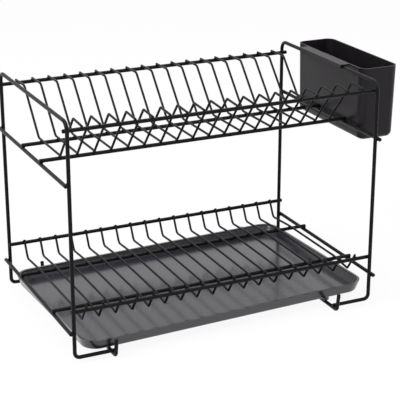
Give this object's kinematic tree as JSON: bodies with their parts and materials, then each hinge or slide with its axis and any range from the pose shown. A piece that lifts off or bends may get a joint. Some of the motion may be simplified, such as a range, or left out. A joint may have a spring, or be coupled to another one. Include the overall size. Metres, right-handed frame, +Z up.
{
  "type": "two-tier dish rack",
  "caption": "Black wire dish rack on two tiers, with bent plate wires, a shallow drip tray on end-stopped runners and a cutlery holder hooked over one end bar.",
  "frame": {"origin": "on the worktop, midway between the four posts", "axes": "+X along the rack's width towards the holder's end, +Y from front to back, +Z up"},
  "size_m": [0.5154, 0.3022, 0.3274],
  "materials": {
    "coated_wire": "satin black coating",
    "tray_plastic": "charcoal, semi-gloss",
    "holder_plastic": "black, fine matt"
  },
  "bodies": {
    "frame": {"end_frame_left": "coated_wire", "tray_runner_left": "coated_wire", "upper_side_rail_left": "coated_wire", "lower_side_rail_left": "coated_wire", "end_frame_right": "coated_wire", "tray_runner_right": "coated_wire", "upper_side_rail_right": "coated_wire", "lower_side_rail_right": "coated_wire", "upper_rear_rail": "coated_wire", "upper_front_rail": "coated_wire", "upper_rest_rail_rear": "coated_wire", "upper_rest_rail_front": "coated_wire", "lower_rear_rail": "coated_wire", "lower_front_rail": "coated_wire", "lower_rest_rail_rear": "coated_wire", "lower_rest_rail_front": "coated_wire", "upper_plate_wire_01": "coated_wire", "upper_plate_wire_02": "coated_wire", "upper_plate_wire_03": "coated_wire", "upper_plate_wire_04": "coated_wire", "upper_plate_wire_05": "coated_wire", "upper_plate_wire_06": "coated_wire", "upper_plate_wire_07": "coated_wire", "upper_plate_wire_08": "coated_wire", "upper_plate_wire_09": "coated_wire", "upper_plate_wire_10": "coated_wire", "upper_plate_wire_11": "coated_wire", "upper_plate_wire_12": "coated_wire", "upper_plate_wire_13": "coated_wire", "upper_plate_wire_14": "coated_wire", "upper_plate_wire_15": "coated_wire", "upper_plate_wire_16": "coated_wire", "upper_plate_wire_17": "coated_wire", "upper_plate_wire_18": "coated_wire", "lower_plate_wire_01": "coated_wire", "lower_plate_wire_02": "coated_wire", "lower_plate_wire_03": "coated_wire", "lower_plate_wire_04": "coated_wire", "lower_plate_wire_05": "coated_wire", "lower_plate_wire_06": "coated_wire", "lower_plate_wire_07": "coated_wire", "lower_plate_wire_08": "coated_wire", "lower_plate_wire_09": "coated_wire", "lower_plate_wire_10": "coated_wire", "lower_plate_wire_11": "coated_wire", "lower_plate_wire_12": "coated_wire", "lower_plate_wire_13": "coated_wire", "lower_plate_wire_14": "coated_wire", "lower_plate_wire_15": "coated_wire", "lower_plate_wire_16": "coated_wire", "lower_plate_wire_17": "coated_wire", "lower_plate_wire_18": "coated_wire"},
    "tray": {"drip_tray": "tray_plastic"},
    "holder": {"cutlery_holder": "holder_plastic"}
  },
  "joints": [
    {"name": "tray_lift", "type": "slide", "parent": "frame", "child": "tray", "axis": [0, 0, 1], "range_m": [0, 0.015]},
    {"name": "holder_lift", "type": "slide", "parent": "frame", "child": "holder", "axis": [0, 0, 1], "range_m": [0, 0.112]}
  ]
}
